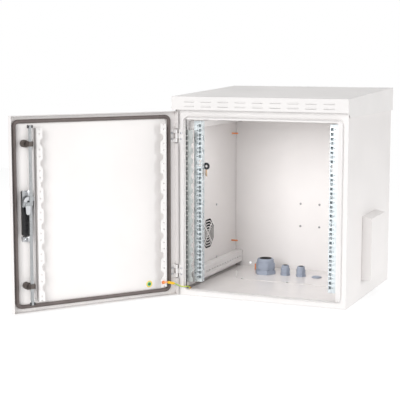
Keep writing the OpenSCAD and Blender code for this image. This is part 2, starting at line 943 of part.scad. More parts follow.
upper_rollers();
lower_rollers();
key_bow();
key_blade();
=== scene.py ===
import math

import bmesh
import bpy
from mathutils import Matrix, Vector


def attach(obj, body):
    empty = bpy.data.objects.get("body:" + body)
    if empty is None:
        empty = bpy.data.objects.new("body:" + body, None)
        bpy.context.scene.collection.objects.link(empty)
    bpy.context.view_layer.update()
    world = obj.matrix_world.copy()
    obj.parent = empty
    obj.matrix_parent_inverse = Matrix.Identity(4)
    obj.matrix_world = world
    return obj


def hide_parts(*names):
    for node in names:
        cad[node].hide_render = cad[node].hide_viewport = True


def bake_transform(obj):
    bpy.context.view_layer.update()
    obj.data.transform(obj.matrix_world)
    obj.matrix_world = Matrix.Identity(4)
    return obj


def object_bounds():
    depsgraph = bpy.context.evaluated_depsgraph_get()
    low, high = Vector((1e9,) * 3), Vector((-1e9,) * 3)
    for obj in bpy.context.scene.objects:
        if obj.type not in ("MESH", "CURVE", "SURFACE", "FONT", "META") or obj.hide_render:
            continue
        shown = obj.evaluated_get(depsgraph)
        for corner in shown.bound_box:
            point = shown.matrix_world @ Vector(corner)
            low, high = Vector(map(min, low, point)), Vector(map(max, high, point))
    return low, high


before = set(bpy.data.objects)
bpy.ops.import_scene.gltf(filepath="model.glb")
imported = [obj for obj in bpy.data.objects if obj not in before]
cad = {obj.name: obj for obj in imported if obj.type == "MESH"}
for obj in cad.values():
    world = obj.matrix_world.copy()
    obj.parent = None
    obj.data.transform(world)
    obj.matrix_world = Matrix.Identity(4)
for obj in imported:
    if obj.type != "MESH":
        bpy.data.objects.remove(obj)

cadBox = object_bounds()
print("frame loaded,", len(cad), "nodes")

# camera

view = {"place": (1.283, -3.745, 0.826), "turn": 0.407, "dip": 0.13, "lens": 101.7}
camera = bpy.data.objects.new("camera", bpy.data.cameras.new("camera"))
camera.location = view["place"]
camera.rotation_euler = (math.pi / 2 - view["dip"], 0, view["turn"])
camera.data.lens = view["lens"]
camera.data.clip_end = 60
bpy.context.scene.collection.objects.link(camera)
bpy.context.scene.camera = camera

# where things stand, in millimetres with the door shut

body = {"front": -275, "floorTop": 9.5, "plateTop": 11.5}
door = {"hinge": (-295, -285, 0), "open": 126, "skin": -299, "pan": -297.8}
lock = {"x": 250, "z": 362, "rod": 240.5, "low": -269.5, "up": -264.2, "travel": 15}
toMetres = Matrix.Scale(0.001, 4)
shut = Matrix.Identity(4)
onDoor = (
    Matrix.Translation(door["hinge"])
    @ Matrix.Rotation(math.radians(-door["open"]), 4, "Z")
    @ Matrix.Translation(-Vector(door["hinge"]))
)
onLatch = onDoor @ Matrix.Translation((lock["x"], 0, lock["z"])) @ Matrix.Rotation(math.pi / 2, 4, "Y")
alongY = Matrix.Rotation(-math.pi / 2, 4, "X")  # turns a piece's own Z to +Y
towardFront = Matrix.Rotation(math.pi / 2, 4, "X")  # and to -Y
alongX = Matrix.Rotation(math.pi / 2, 4, "Y")


def at(x, y, z):
    return Matrix.Translation((x, y, z))


# shader sums


class Flow:  # one output of a shader node, which can be added and multiplied
    def __init__(self, finish, socket):
        self.finish = finish
        self.socket = socket

    def sum(self, operation, a, b):
        return self.finish.node("Math", {"operation": operation}, {0: a, 1: b})

    def __add__(self, other):
        return self.sum("ADD", self, other)

    def __mul__(self, other):
        return self.sum("MULTIPLY", self, other)

    __radd__ = __add__
    __rmul__ = __mul__


class Finish:  # one material being mixed
    def __init__(self, name):
        self.material = bpy.data.materials.new(name)
        self.material.use_nodes = True
        self.tree = self.material.node_tree
        self.tree.nodes.clear()

    def node(self, kind, settings=None, inputs=None, out=0):
        made = self.tree.nodes.new("ShaderNode" + kind)
        for key, value in (settings or {}).items():
            setattr(made, key, value)
        for key, value in (inputs or {}).items():
            socket = made.inputs[key]
            if isinstance(value, Flow):
                self.tree.links.new(value.socket, socket)
            elif socket.type == "RGBA":
                socket.default_value = (*value[:3], 1)
            else:
                socket.default_value = value
        return Flow(self, made.outputs[out]) if len(made.outputs) else None

    def spot(self):
        return self.node("TexCoord", out="Object")

    def noise(self, scale, detail=2, roughness=0.5, stretch=(1, 1, 1)):
        place = self.node("Mapping", {}, {"Vector": self.spot(), "Scale": stretch})
        return self.node("TexNoise", {}, {
            "Vector": place, "Scale": scale, "Detail": detail, "Roughness": roughness
        })

    def spread(self, value, low, high):
        return self.node("MapRange", {}, {"Value": value, "From Min": low, "From Max": high})

    def tint(self, share, a, b):
        return self.node("Mix", {"data_type": "RGBA"}, {0: share, 6: a, 7: b}, out=2)

    def softEdge(self, radius):  # the normal round a small edge, and how near an edge is
        normal = self.node("Bevel", {"samples": 4}, {"Radius": radius})
        flat = self.node("NewGeometry", out="Normal")
        same = self.node("VectorMath", {"operation": "DOT_PRODUCT"}, {0: normal, 1: flat}, out="Value")
        return normal, self.spread(same, 0.995, 0.86)

    def done(self, colour, roughness, normal, **fixed):
        inputs = {"Base Color": colour, "Roughness": roughness, "Normal": normal}
        inputs.update({key.replace("_", " "): value for key, value in fixed.items()})
        shader = self.node("BsdfPrincipled", {}, inputs)
        self.node("OutputMaterial", {}, {"Surface": shader})
        return self.material


def shade(colour, share):
    return tuple(c * share for c in colour)


def hoodInside(mix):  # 1 on the faces inside a vent hood, which are coloured near-black as painted shade behind the slots
    split = mix.node("SeparateXYZ", {}, {"Vector": mix.spot()})
    x = mix.node("Math", {"operation": "ABSOLUTE"}, {0: split})
    y = Flow(mix, split.socket.node.outputs[1])
    z = Flow(mix, split.socket.node.outputs[2])
    offMiddle = mix.node("Math", {"operation": "ABSOLUTE"}, {0: y + 0.0035})
    within = mix.node("Math", {"operation": "LESS_THAN"}, {0: x, 1: 0.3324})
    between = mix.node("Math", {"operation": "LESS_THAN"}, {0: offMiddle, 1: 0.0879})
    under = mix.node("Math", {"operation": "LESS_THAN"}, {0: z + 0.2121 * x, 1: 0.2814 + 0.2121 * 0.3})
    return within * between * under


def powderCoat(name, colour, peel=0.10, gloss=0.36, dust=0.03, shadedInside=False):
    mix = Finish(name)
    rounded, edge = mix.softEdge(0.0007)
    broad = mix.noise(5.5, 3, 0.55)
    cloudy = mix.spread(broad, 0.3, 0.7)
    fine = mix.noise(1300, 2)
    specks = mix.spread(mix.noise(420, 1), 0.70, 0.78)
    plain = mix.tint(cloudy, shade(colour, 1 - dust), shade(colour, 1.01))
    marked = mix.tint(specks * 0.10, plain, shade(colour, 0.82))
    wearAndShade = mix.tint(edge * mix.spread(mix.noise(90, 3), 0.42, 0.66) * 0.30, marked, shade(colour, 1.06))
    # painted shade: ambient occlusion tints the paint dark brown in creases, gaps and under overhangs
    creaseShade = mix.spread(mix.node("AmbientOcclusion", {"samples": 6}, {"Distance": 0.010}, out="AO"), 0.08, 0.52)
    wearAndShade = mix.tint(creaseShade, (0.20, 0.15, 0.13), wearAndShade)
    # painted shade: the faces inside the hood are coloured near-black
    if shadedInside:
        wearAndShade = mix.tint(hoodInside(mix), wearAndShade, (0.002, 0.002, 0.002))
    bump = mix.node("Bump", {}, {
        "Strength": peel, "Distance": 0.0004, "Height": fine + 0.5 * mix.noise(430, 1), "Normal": rounded
    })
    return mix.done(wearAndShade, gloss + 0.10 * cloudy + 0.06 * fine, bump, Specular_IOR_Level=0.42)


def galvanised(name, colour, spangle=260, roughness=0.38, brushed=False):
    mix = Finish(name)
    rounded, edge = mix.softEdge(0.0004)
    place = mix.node("Mapping", {}, {"Vector": mix.spot(), "Scale": (1, 1, 0.7)})
    flake = mix.node("TexVoronoi", {}, {"Vector": place, "Scale": spangle}, out="Color")
    level = mix.node("SeparateColor", {}, {"Color": flake})
    streaks = mix.noise(60, 4, 0.6, (1, 1, 0.06 if brushed else 0.5))
    tone = mix.tint(level, shade(colour, 0.86), shade(colour, 1.06))
    aged = mix.tint(mix.spread(streaks, 0.45, 0.75) * 0.35, tone, shade(colour, 0.74))
    bright = mix.tint(edge * 0.5, aged, shade(colour, 1.15))
    bump = mix.node("Bump", {}, {
        "Strength": 0.10, "Distance": 0.0002, "Height": level + streaks, "Normal": rounded
    })
    return mix.done(bright, roughness + 0.12 * level + 0.08 * streaks, bump, Metallic=0.85)


def mouldedNylon(name, colour, roughness=0.45, grain=900, edgeLift=1.25):
    mix = Finish(name)
    rounded, edge = mix.softEdge(0.0006)
    cloud = mix.noise(38, 3)
    grit = mix.noise(grain, 2)
    scuff = mix.spread(mix.noise(160, 5, 0.7, (1, 1, 0.25)), 0.60, 0.74)
    tone = mix.tint(mix.spread(cloud, 0.3, 0.7), shade(colour, 0.92), shade(colour, 1.07))
    scuffed = mix.tint(scuff * 0.22, tone, shade(colour, 1.35))
    rim = mix.tint(edge * 0.5, scuffed, shade(colour, edgeLift))
    bump = mix.node("Bump", {}, {"Strength": 0.18, "Distance": 0.0003, "Height": grit, "Normal": rounded})
    return mix.done(rim, roughness + 0.12 * grit + 0.10 * scuff, bump, Specular_IOR_Level=0.45)


def foamRubber(name, colour, pores=700, shine=0.60):
    mix = Finish(name)
    cells = mix.node("TexVoronoi", {}, {"Vector": mix.spot(), "Scale": pores}, out="Distance")
    patch = mix.noise(24, 4, 0.6)
    tone = mix.tint(mix.spread(patch, 0.3, 0.72), shade(colour, 0.84), shade(colour, 1.12))
    dusty = mix.tint(mix.spread(mix.noise(300, 2), 0.55, 0.75) * 0.25, tone, shade(colour, 1.5))
    bump = mix.node("Bump", {}, {"Strength": 0.35, "Distance": 0.0006, "Height": cells + 0.6 * patch})
    return mix.done(dusty, shine + 0.16 * patch, bump, Specular_IOR_Level=0.42)


def metal(name, colour, roughness, scratch=220, stain=0.5, metallic=1.0):
    mix = Finish(name)
    rounded, edge = mix.softEdge(0.0004)
    lines = mix.noise(scratch, 4, 0.65, (1, 1, 0.12))
    patch = mix.noise(45, 4, 0.6)
    tone = mix.tint(mix.spread(patch, 0.35, 0.7) * stain, colour, shade(colour, 0.62))
    rubbed = mix.tint(edge * 0.6, tone, shade(colour, 1.25))
    bump = mix.node("Bump", {}, {"Strength": 0.12, "Distance": 0.0002, "Height": lines, "Normal": rounded})
    return mix.done(rubbed, roughness + 0.16 * lines + 0.08 * patch, bump, Metallic=metallic)


def sheath(name, colour):
    mix = Finish(name)
    cloud = mix.noise(140, 3)
    tone = mix.tint(mix.spread(cloud, 0.3, 0.7), shade(colour, 0.88), shade(colour, 1.08))
    bump = mix.node("Bump", {}, {"Strength": 0.12, "Distance": 0.0002, "Height": mix.noise(1500, 2)})
    return mix.done(tone, 0.36 + 0.14 * cloud, bump, Specular_IOR_Level=0.5)


def ringedFilm(name, centre, rings):  # printed rings round a centre, in metres
    mix = Finish(name)
    gap = mix.node("VectorMath", {"operation": "DISTANCE"}, {0: mix.spot(), 1: centre}, out="Value")
    colour = rings[0][1]
    for reach, tone in rings[1:]:
        inside = mix.node("Math", {"operation": "LESS_THAN"}, {0: gap, 1: reach})
        colour = mix.tint(inside, colour, tone)
    faded = mix.tint(mix.spread(mix.noise(120, 3), 0.4, 0.8) * 0.18, colour, (0.8, 0.8, 0.78))
    bump = mix.node("Bump", {}, {"Strength": 0.08, "Distance": 0.0002, "Height": mix.noise(900, 2)})
    return mix.done(faded, 0.34 + 0.1 * mix.noise(200, 2), bump, Specular_IOR_Level=0.5)


coat = {
    "body": (0.77, 0.745, 0.735), "frame": (0.775, 0.757, 0.750), "roof": (0.765, 0.747, 0.738),
    "zinc": (0.70, 0.755, 0.78), "nylon": (0.31, 0.345, 0.42), "gasket": (0.120, 0.098, 0.092),
    "guide": (0.090, 0.074, 0.066), "black": (0.012, 0.012, 0.014), "copper": (0.86, 0.36, 0.16),
}
bodyPaint = powderCoat("body_paint", coat["body"])
basePaint = powderCoat("base_paint", coat["body"], peel=0.05, gloss=0.13)
# the hood paint carries painted shade, near-black, on its inside faces
hoodPaint = powderCoat("hood_paint", coat["body"], shadedInside=True)
framePaint = powderCoat("frame_paint", coat["frame"], peel=0.08, gloss=0.32)
roofPaint = powderCoat("roof_paint", coat["roof"], peel=0.12, gloss=0.42, dust=0.05)
railZinc = galvanised("rail_zinc", coat["zinc"])
stripZinc = galvanised("strip_zinc", (0.46, 0.485, 0.475), 160, 0.35)
rodZinc = galvanised("rod_zinc", (0.40, 0.415, 0.425), 340, 0.30, True)
dullZinc = metal("dull_zinc", (0.30, 0.30, 0.31), 0.42)
plated = metal("plated_steel", (0.66, 0.67, 0.69), 0.26, stain=0.35)
darkSteel = metal("dark_steel", (0.10, 0.10, 0.105), 0.34, metallic=0.8)
glandNylon = mouldedNylon("gland_nylon", coat["nylon"])
sealRubber = foamRubber("seal_rubber", (0.035, 0.034, 0.034), pores=1400)
gasketFoam = foamRubber("gasket_foam", coat["gasket"], shine=0.34)
copperSteel = metal("copper_plated", coat["copper"], 0.24, stain=0.4)
guidePlastic = mouldedNylon("guide_plastic", coat["guide"], 0.42)
blackPlastic = mouldedNylon("black_plastic", coat["black"], 0.34, edgeLift=2.2)
keyMetal = metal("key_metal", (0.42, 0.30, 0.20), 0.30)
sheathYellow = sheath("sheath_yellow", (0.80, 0.66, 0.04))
sheathGreen = sheath("sheath_green", (0.16, 0.46, 0.07))
sleeveYellow = sheath("sleeve_yellow", (0.86, 0.52, 0.015))
tieDark = sheath("tie_dark", (0.030, 0.030, 0.034))
print("finishes mixed")

finishOf = {
    bodyPaint: ["side_panel_left", "side_panel_right", "back_panel", "top_panel", "door_skin"],
    basePaint: ["bottom_plate", "gland_plate"],
    hoodPaint: ["vent_hood_left", "vent_hood_right"],
    framePaint: ["front_frame", "depth_bars_upper", "depth_bars_lower", "rail_brackets", "frame_hinge_leaves",
                 "door_hinge_leaves", "lock_channel", "hinge_side_strip", "lock_side_strip"],
    stripZinc: ["frame_side_strip"],
    roofPaint: ["roof_cover"],
    railZinc: ["rack_rail_left", "rack_rail_right"], rodZinc: ["upper_rod", "lower_rod"],
    plated: ["vent_hood_screws", "gland_plate_screws", "rail_bolts", "frame_earth_nut", "pan_screws",
             "door_hinge_screws", "lock_bracket", "lock_cam", "lock_cylinder"],
    darkSteel: ["bar_bolts", "hinge_pins"],
    glandNylon: ["large_gland_body", "large_gland_cap", "small_gland_bodies", "small_gland_caps",
                 "gland_locknuts", "blanking_plug"],
    sealRubber: ["large_gland_seal", "small_gland_seals"],
    gasketFoam: ["door_gasket"],
    copperSteel: ["weld_studs", "frame_earth_lug", "door_earth_lug"],
    guidePlastic: ["rod_guides"],
    blackPlastic: ["lock_housing", "handle_base", "lock_spindle", "handle_lever", "upper_rollers",
                   "lower_rollers", "key_bow"],
    keyMetal: ["key_blade"], tieDark: ["key_tie"], sleeveYellow: ["earth_sleeve"],
    sheathYellow: ["earth_wire", "earth_label"],
}
for finish, names in finishOf.items():
    for name in names:
        for slot in cad[name].material_slots:
            slot.material = finish
print("finishes on", sum(len(names) for names in finishOf.values()), "nodes")

# pieces


class Piece:  # gathers parts, each a small mesh of its own in millimetres, into one object
    def __init__(self, name):
        self.name = name
        self.whole = bmesh.new()

    def add(self, part, place=shut, finish=0):
        bmesh.ops.remove_doubles(part, verts=part.verts, dist=0.0004)
        bmesh.ops.transform(part, matrix=place, verts=part.verts)
        bmesh.ops.recalc_face_normals(part, faces=part.faces)
        if finish:
            for face in part.faces:
                face.material_index = finish
        scratch = bpy.data.meshes.new("scratch")
        part.to_mesh(scratch)
        self.whole.from_mesh(scratch)
        bpy.data.meshes.remove(scratch)
        part.free()
        return self

    def done(self, ridesOn, replaced, slot, finishes, place=shut, sharp=32):
        bmesh.ops.transform(self.whole, matrix=toMetres @ place, verts=self.whole.verts)
        mesh = bpy.data.meshes.new(self.name)
        for face in self.whole.faces:
            face.smooth = True
        self.whole.to_mesh(mesh)
        self.whole.free()
        mesh.set_sharp_from_angle(angle=math.radians(sharp))
        for finish in finishes:
            mesh.materials.append(finish)
        made = bpy.data.objects.new(self.name, mesh)
        bpy.context.scene.collection.objects.link(made)
        if isinstance(ridesOn, str):
            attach(made, ridesOn)
        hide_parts(*replaced)
        return made


def turned(profile, steps=48, ring=False):  # (radius, height) pairs spun round Z
    part = bmesh.new()
    dots = [part.verts.new((r, 0, h)) for r, h in profile]
    lines = [part.edges.new(pair) for pair in zip(dots, dots[1:] + (dots[:1] if ring else []))]
    bmesh.ops.spin(part, geom=dots + lines, cent=(0, 0, 0), axis=(0, 0, 1), dvec=(0, 0, 0),
                   angle=2 * math.pi, steps=steps, use_merge=True, use_duplicate=False)
    return part


def pressFlats(part, across, low, high, count=6, turn=30):  # presses flats onto a turned part
    for dot in part.verts:
        if low - 0.01 <= dot.co.z <= high + 0.01:
            for k in range(count):
                a = math.radians(turn + k * 360 / count)
                out = Vector((math.cos(a), math.sin(a), 0))
                over = dot.co.dot(out) - across / 2
                if over > 0:
                    dot.co -= out * over
    return part


def threads(radius, low, high, pitch=1.0, depth=0.35):  # the outline of a thread as rings
    count = max(1, round((high - low) / pitch))
    step = (high - low) / count
    outline = []
    for k in range(count):
        outline += [(radius - depth, low + k * step), (radius, low + (k + 0.5) * step)]
    return outline + [(radius - depth, high)]


def block(low, high, corner=0, soft=0.4, axis=1, segments=6):
    part = bmesh.new()
    bmesh.ops.create_cube(part, size=1)
    size = Vector(high) - Vector(low)
    bmesh.ops.scale(part, vec=size, verts=part.verts)
    bmesh.ops.translate(part, vec=(Vector(low) + Vector(high)) / 2, verts=part.verts)
    if corner:
        uprights = [e for e in part.edges if abs((e.verts[0].co - e.verts[1].co)[axis]) > 0.9 * size[axis]]
        bmesh.ops.bevel(part, geom=uprights, offset=corner, offset_type="OFFSET", segments=segments,
                        profile=0.5, affect="EDGES", material=-1)
    if soft:
        rims = [e for e in part.edges if len(e.link_faces) == 2 and e.calc_face_angle() > 0.7]
        bmesh.ops.bevel(part, geom=rims, offset=soft, offset_type="OFFSET", segments=2, profile=0.5,
                        affect="EDGES", material=-1, clamp_overlap=True)
    return part


def frames(points, up, ring):
    rows = []
    for i, point in enumerate(points):
        ahead = points[(i + 1) % len(points)] if ring or i + 1 < len(points) else point
        behind = points[i - 1] if ring or i else point
        run = (ahead - behind).normalized()
        side = run.cross(Vector(up)).normalized()
        over = side.cross(run)
        rows.append(Matrix((
            (side.x, over.x, run.x, point.x), (side.y, over.y, run.y, point.y),
            (side.z, over.z, run.z, point.z), (0, 0, 0, 1)
        )))
    return rows


def hose(points, wide, tall, up=(0, 1, 0), sides=16, ring=False):  # an oval section swept along points
    points = [Vector(p) for p in points]
    rows = frames(points, up, ring)
    part = bmesh.new()
    first = bmesh.ops.create_circle(part, cap_ends=not ring, segments=sides, radius=1)["verts"]
    bmesh.ops.scale(part, vec=(wide, tall, 1), verts=first)
    bmesh.ops.transform(part, matrix=rows[0], verts=first)
    begin = loop = [e for e in part.edges]
    for before, after in zip(rows, rows[1:]):
        grown = bmesh.ops.extrude_edge_only(part, edges=loop)["geom"]
        dots = [g for g in grown if isinstance(g, bmesh.types.BMVert)]
        loop = [g for g in grown if isinstance(g, bmesh.types.BMEdge)]
        loop = [e for e in loop if all(d in dots for d in e.verts)]
        bmesh.ops.transform(part, matrix=after @ before.inverted(), verts=dots)
    if ring:
        bmesh.ops.bridge_loops(part, edges=begin + loop)
    else:
        bmesh.ops.holes_fill(part, edges=loop, sides=0)
    return part, rows


def smoothRoute(points, steps):
    points = [Vector(p) for p in points]
    route = []
    for i in range(len(points) - 1):
        a, b, c, d = points[max(i - 1, 0)], points[i], points[i + 1], points[min(i + 2, len(points) - 1)]
        for k in range(steps):
            t = k / steps
            route.append(0.5 * (2 * b + t * (c - a) + t * t * (2 * a - 5 * b + 4 * c - d)
                                + t * t * t * (3 * b - a - 3 * c + d)))
    return route + [points[-1]]


# earth lead, from the frame's stud to the door's sleeve

lead = {
    "route": [(-294, -304, 44), (-286, -298, 39), (-277, -295, 35), (-268, -293, 34), (-260, -290, 34),
              (-254, -283, 34), (-252, -275, 30), (-253, -269, 22), (-254, -266, 17.5)],
    "radius": 1.9, "sleeve": (-311, -323.55, 51.05), "sleeveEnd": (-294.57, -304.66, 44.24), "sleeveRadius": 4.6,
}
route = smoothRoute(lead["route"], 4)
part, rows = hose(route, lead["radius"], lead["radius"], (0.1, 0.05, 1), 16)
for face in part.faces:
    middle = face.calc_center_median()
    near = min(rows, key=lambda row: (row.translation - middle).length)
    spot = near.inverted() @ middle
    if abs(math.degrees(math.atan2(spot.y, spot.x))) % 180 < 34:
        face.material_index = 1
wire = Piece("earth_lead").add(part).done(None, ["earth_wire"], "wire_sheath", [sheathYellow, sheathGreen])
wirePath = [tuple(p * 0.001 for p in point) for point in reversed(route)]
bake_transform(wire)

start, end = Vector(lead["sleeve"]), Vector(lead["sleeveEnd"])
turnTo = (end - start).to_track_quat("Z", "Y").to_matrix().to_4x4()
length, r = (end - start).length, lead["sleeveRadius"]
wall = [(0, 0), (r - 0.9, 0), (r - 0.2, 0.5), (r, 1.6)]
for k in range(1, 9):
    h = 2 + k * (length - 7) / 9
    wall += [(r, h), (r - 0.35, h + 0.9), (r, h + 1.8)]
wall += [(r, length - 3.5), (r - 0.8, length - 1.2), (2.4, length), (0, length)]
sleeve = Piece("earth_lead_sleeve").add(turned(wall, 32), Matrix.Translation(start) @ turnTo)
sleeve = sleeve.done(None, ["earth_sleeve"], "sleeve_yellow", [sleeveYellow])
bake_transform(sleeve)

# door gasket

gasket = {"box": (-270, 282, 22, 612), "corner": 15, "wide": 6.15, "tall": 5.2, "middle": -292.55}


def roundedLoop(x0, x1, z0, z1, corner, y, steps=8):
    corners = [(x1 - corner, z1 - corner, 0), (x0 + corner, z1 - corner, 90),
               (x0 + corner, z0 + corner, 180), (x1 - corner, z0 + corner, 270)]
    loop = []
    for cx, cz, begin in corners:
        for k in range(steps + 1):
            a = math.radians(begin + 90 * k / steps)
            loop.append((cx + corner * math.cos(a), y, cz + corner * math.sin(a)))
    return loop


part, rows = hose(roundedLoop(*gasket["box"], gasket["corner"], gasket["middle"]), gasket["wide"],
                  gasket["tall"], sides=20, ring=True)
for dot in part.verts:  # the glued side is flat
    dot.co.y = max(dot.co.y, door["pan"] + 0.15)
gasketRing = Piece("gasket_ring").add(part)
gasketRing.done("door", ["door_gasket"], "gasket_rubber", [gasketFoam], onDoor, sharp=60)
print("door gasket")

# cable glands

largeGland = {"x": -128, "y": 142, "bodyFlats": 68, "capFlats": 66, "bore": 20}
smallGland = {"xs": (-50, 10), "y": 142, "bodyFlats": 33, "capFlats": 31, "bore": 7.5}


def glandBody(flats, hexTall, collarTall, thread, threadTall, bore):
    z = body["plateTop"]
    corner = flats / math.sqrt(3)
    outline = [(bore, z - threadTall)] + threads(thread, z - threadTall, z - 0.2, 1.5, 0.6)
    outline += [(corner * 0.94, z), (corner, z + flats * 0.03), (corner, z + hexTall - flats * 0.03),
                (corner * 0.93, z + hexTall), (flats / 2 - 1, z + hexTall + 0.05),
                (flats / 2 - 1, z + hexTall + collarTall - 0.4),
                (flats / 2 - 1.4, z + hexTall + collarTall), (bore, z + hexTall + collarTall)]
    return pressFlats(turned(outline, 72, True), flats, z, z + hexTall)


def glandCap(z, flats, hexTall, domeTall, mouth, room):
    corner = flats / 2 + flats * 0.055
    top = z + hexTall
    outline = [(room, z), (corner * 0.955, z), (corner, z + flats * 0.035), (corner, top - flats * 0.03),
               (corner * 0.965, top), (flats / 2 - 0.9, top + 0.3), (flats / 2 - 1.1, top + domeTall * 0.16)]
    for k in range(1, 9):
        a = math.radians(k * 11.25)
        reach = flats * 0.5 - 1.2 - flats * 0.075 * (1 - math.cos(a))
        outline.append((reach, top + domeTall * (0.16 + 0.84 * math.sin(a))))
    outline += [(mouth + 0.5, top + domeTall), (mouth, top + domeTall - 0.5),
                (mouth, top + domeTall * 0.5), (room, top + domeTall * 0.5 - 0.2)]
    return pressFlats(turned(outline, 72, True), flats, z, top)


def glandSeal(z, tall, reach, bore, mouth, top):  # its lip stands just over the nut's mouth
    outline = [(bore, z), (reach, z), (reach, z + tall - 0.4), (mouth - 0.15, z + tall), (mouth - 0.15, top - 0.8)]
    outline += [(mouth - 0.8, top), (bore + 0.8, top), (bore, top - 0.9)]
    return turned(outline, 48, True)


place = at(largeGland["x"], largeGland["y"], 0)
Piece("large_gland_base").add(glandBody(largeGland["bodyFlats"], 15, 4, 31.4, 9, 24), place).done(
    "cabinet", ["large_gland_body"], "gland_nylon", [glandNylon])
Piece("large_gland_nut").add(glandCap(30.7, largeGland["capFlats"], 22, 16, 22.5, 28), place).done(
    "cabinet", ["large_gland_cap"], "gland_nylon", [glandNylon])
Piece("large_gland_rubber").add(glandSeal(30.7, 29, 27.8, largeGland["bore"], 22.5, 70.2), place).done(
    "cabinet", ["large_gland_seal"], "seal_rubber", [sealRubber])
bases, nuts, rubbers = Piece("small_gland_bases"), Piece("small_gland_nuts"), Piece("small_gland_rubbers")
for x in smallGland["xs"]:
    place = at(x, smallGland["y"], 0)
    bases.add(glandBody(smallGland["bodyFlats"], 8, 2, 12.4, 9, 9.5), place)
    nuts.add(glandCap(21.7, smallGland["capFlats"], 16, 11, 9.5, 12), place)
    rubbers.add(glandSeal(21.7, 20, 11.8, smallGland["bore"], 9.5, 49.5), place)
bases.done("cabinet", ["small_gland_bodies"], "gland_nylon", [glandNylon])
nuts.done("cabinet", ["small_gland_caps"], "gland_nylon", [glandNylon])
rubbers.done("cabinet", ["small_gland_seals"], "seal_rubber", [sealRubber])

plug = {"x": 70, "y": 142, "thread": 12.4}
z = body["plateTop"]
outline = [(0, z - 9)] + threads(plug["thread"], z - 9, z - 0.2, 1.5, 0.5)
outline += [(17.4, z), (18, z + 0.6), (18, z + 2.4), (17.2, z + 3), (16.4, z + 3.1), (15.9, z + 4),
            (11, z + 4), (10.2, z + 3.3), (0, z + 3.3)]
Piece("blanking_disc").add(turned(outline, 64), at(plug["x"], plug["y"], 0)).add(
    block((plug["x"] - 9, plug["y"] - 1.4, z + 3), (plug["x"] + 9, plug["y"] + 1.4, z + 4), 0, 0.3)).done(
    "cabinet", ["blanking_plug"], "gland_nylon", [glandNylon])
print("cable glands")

# screws, studs and nuts

panHead = {"reach": 4.6, "tall": 2.8, "shank": 2.4}


def crossHead(reach, tall, shank, shankLong):  # a domed head on z = 0 with a cross recess, shank below
    outline = [(0, -shankLong), (shank * 0.6, -shankLong)] + threads(shank, -shankLong + 0.6, -0.4, 0.8, 0.3)
    outline += [(shank, -0.2), (reach * 0.95, 0), (reach, tall * 0.18), (reach * 0.97, tall * 0.45),
                (reach * 0.82, tall * 0.78), (reach * 0.55, tall * 0.94), (reach * 0.36, tall), (0, tall)]
    part = turned(outline, 32)
    for dot in part.verts:  # the recess: four of eight rays dip at the crown
        spread = math.hypot(dot.co.x, dot.co.y)
        if dot.co.z > tall * 0.9 and spread < reach * 0.4:
            a = math.degrees(math.atan2(dot.co.y, dot.co.x)) % 90
            if spread < 0.01 or a < 12 or a > 78:
                dot.co.z -= tall * 0.5
    return part


def hexHead(flats, tall, shank, shankLong, flange=0):
    corner = flats / math.sqrt(3)
    outline = [(0, -shankLong), (shank * 0.6, -shankLong)] + threads(shank, -shankLong + 0.6, -0.3, 0.9, 0.3)
    outline += [(shank, -0.1)]
    if flange:
        outline += [(flange, 0), (flange, 0.5), (corner, 0.9)]
    outline += [(corner * 0.97, 0 if not flange else 1), (corner, 1.1 if flange else 0.4),
                (corner, tall - corner * 0.13), (corner * 0.84, tall), (0, tall - 0.25)]
    part = turned(outline, 48)
    return pressFlats(part, flats, 0.95 if flange else 0, tall, 6, 30)


screws = Piece("plate_pan_screws")
for x, y in ((-173, 19), (173, 19), (-173, 181), (173, 181), (0, 19), (0, 181)):
    turn = Matrix.Rotation(0.13 * x, 4, "Z")
    screws.add(crossHead(panHead["reach"], panHead["tall"], panHead["shank"], 6), at(x, y, body["plateTop"]) @ turn)
screws.done("cabinet", ["gland_plate_screws"], "zinc", [plated])

screws = Piece("hood_bolts")
for side in (-1, 1):
    for y in (-78, 78):
        for z in (75, 269):
            outward = Matrix.Rotation(side * math.pi / 2, 4, "Y")
            inward = Matrix.Rotation(-side * math.pi / 2, 4, "Y")
            screws.add(hexHead(8, 4, 2.4, 4.4), at(side * 301.2, y, z) @ outward)
            screws.add(hexHead(8, 2.5, 2.2, 0.9), at(side * 298.45, y, z) @ inward)
screws.done("cabinet", ["vent_hood_screws"], "zinc", [plated])

hinge = {"heights": (84.5, 547), "screws": (-11, 9), "onFrame": (-281, -277), "onDoor": (-284, -296.2)}
screws = Piece("cross_head_pan_screws")
doorScrews = Piece("door_hinge_pan_screws")
for h in hinge["heights"]:
    for z in hinge["screws"]:
        x, y = hinge["onFrame"]
        screws.add(crossHead(4, 2.4, 2, 1.5), at(x, y, h + z) @ towardFront)
        x, y = hinge["onDoor"]
        doorScrews.add(crossHead(4, 2.4, 2, 1.5), at(x, y, h + z) @ alongY)
for x in (-37, 37):
    for z in (176, 261):
        outline = [(0, 0), (4, 0), (3.95, 0.9), (3.3, 1.8), (1.9, 2.3), (0, 2.4)]
        screws.add(turned(outline, 32), at(x, 273.5, z) @ towardFront, finish=1)
screws.done("cabinet", ["pan_screws"], "zinc", [plated, dullZinc])
doorScrews.done("door", ["door_hinge_screws"], "zinc", [plated], onDoor)

studs = {"radius": 3, "pitch": 1.0}


def stud(long):
    r = studs["radius"]
    outline = [(0, 0), (r, 0), (r, 1.2)] + threads(r, 1.6, long - 0.8, studs["pitch"], 0.42)
    return turned(outline + [(2.2, long - 0.2), (1.6, long), (0, long)], 24)


row = Piece("threaded_studs")
for side in (-1, 1):
    for z in (112, 522):
        row.add(stud(25), at(side * 298.5, 230, z) @ Matrix.Rotation(-side * math.pi / 2, 4, "Y"))
for x, y, long, painted in ((-190, 202, 24, 0), (-203, 38, 24, 1), (-258, -254, 17, 0)):
    row.add(stud(long), at(x, y, body["floorTop"]), finish=painted)
row.done("cabinet", ["weld_studs"], "copper", [copperSteel, framePaint])
print("screws and studs")

# rod guides, rollers and the lock

